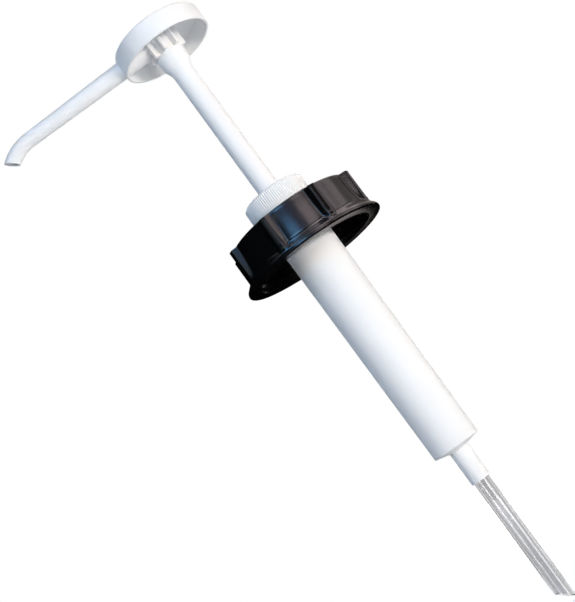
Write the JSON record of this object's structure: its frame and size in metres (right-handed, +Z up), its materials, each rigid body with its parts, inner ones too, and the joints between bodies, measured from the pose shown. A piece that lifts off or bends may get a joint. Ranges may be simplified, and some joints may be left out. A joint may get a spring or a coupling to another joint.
{
  "type": "dispensing pump",
  "caption": "Hand dispensing pump with a curved spout, sprung plunger, knurled collar nut and lugged screw cap, over a valved cylinder and a clear dip tube.",
  "frame": {"origin": "centre of the gasket's underside, the sealing face that seats on the container neck", "axes": "+Z up along the pump axis, spout along -X"},
  "size_m": [0.1296, 0.072, 0.3153],
  "materials": {
    "white_plastic": "satin moulded polypropylene",
    "natural_plastic": "natural moulded polyethylene",
    "black_plastic": "glossy moulded polypropylene",
    "seal_rubber": "matt moulded rubber",
    "spring_steel": "drawn stainless wire",
    "ball_steel": "polished ball",
    "clear_tube": "clear extruded tube"
  },
  "bodies": {
    "barrel": {"pump_cylinder": "white_plastic", "neck_gasket": "seal_rubber", "collar_nut": "white_plastic", "stem_guide": "natural_plastic", "stem_wiper": "seal_rubber", "inlet_valve_cage": "natural_plastic", "return_spring": "spring_steel", "dip_tube": "clear_tube"},
    "cap": {"screw_cap": "black_plastic"},
    "piston": {"piston": "natural_plastic", "upper_piston_seal": "seal_rubber", "lower_piston_seal": "seal_rubber"},
    "plunger": {"pump_head": "white_plastic", "stem": "white_plastic", "stem_tip": "natural_plastic", "outlet_ball_stop": "natural_plastic"},
    "outlet_ball": {"outlet_ball": "ball_steel"},
    "inlet_ball": {"inlet_ball": "ball_steel"}
  },
  "joints": [
    {"name": "cap_turn", "type": "hinge", "parent": "barrel", "child": "cap", "pos_m": [0, 0, 0], "axis": [0, 0, 1], "continuous": true},
    {"name": "plunger_stroke", "type": "slide", "parent": "barrel", "child": "piston", "axis": [0, 0, -1], "range_m": [0, 0.07], "stiffness_N_per_m": 160, "springref_m": -0.06, "deforming": ["return_spring"]},
    {"name": "head_swivel", "type": "hinge", "parent": "piston", "child": "plunger", "pos_m": [0, 0, 0], "axis": [0, 0, 1], "continuous": true},
    {"name": "outlet_ball_lift", "type": "slide", "parent": "plunger", "child": "outlet_ball", "axis": [0, 0, 1], "range_m": [0, 0.002]},
    {"name": "inlet_ball_lift", "type": "slide", "parent": "barrel", "child": "inlet_ball", "axis": [0, 0, 1], "range_m": [0, 0.0025]}
  ]
}
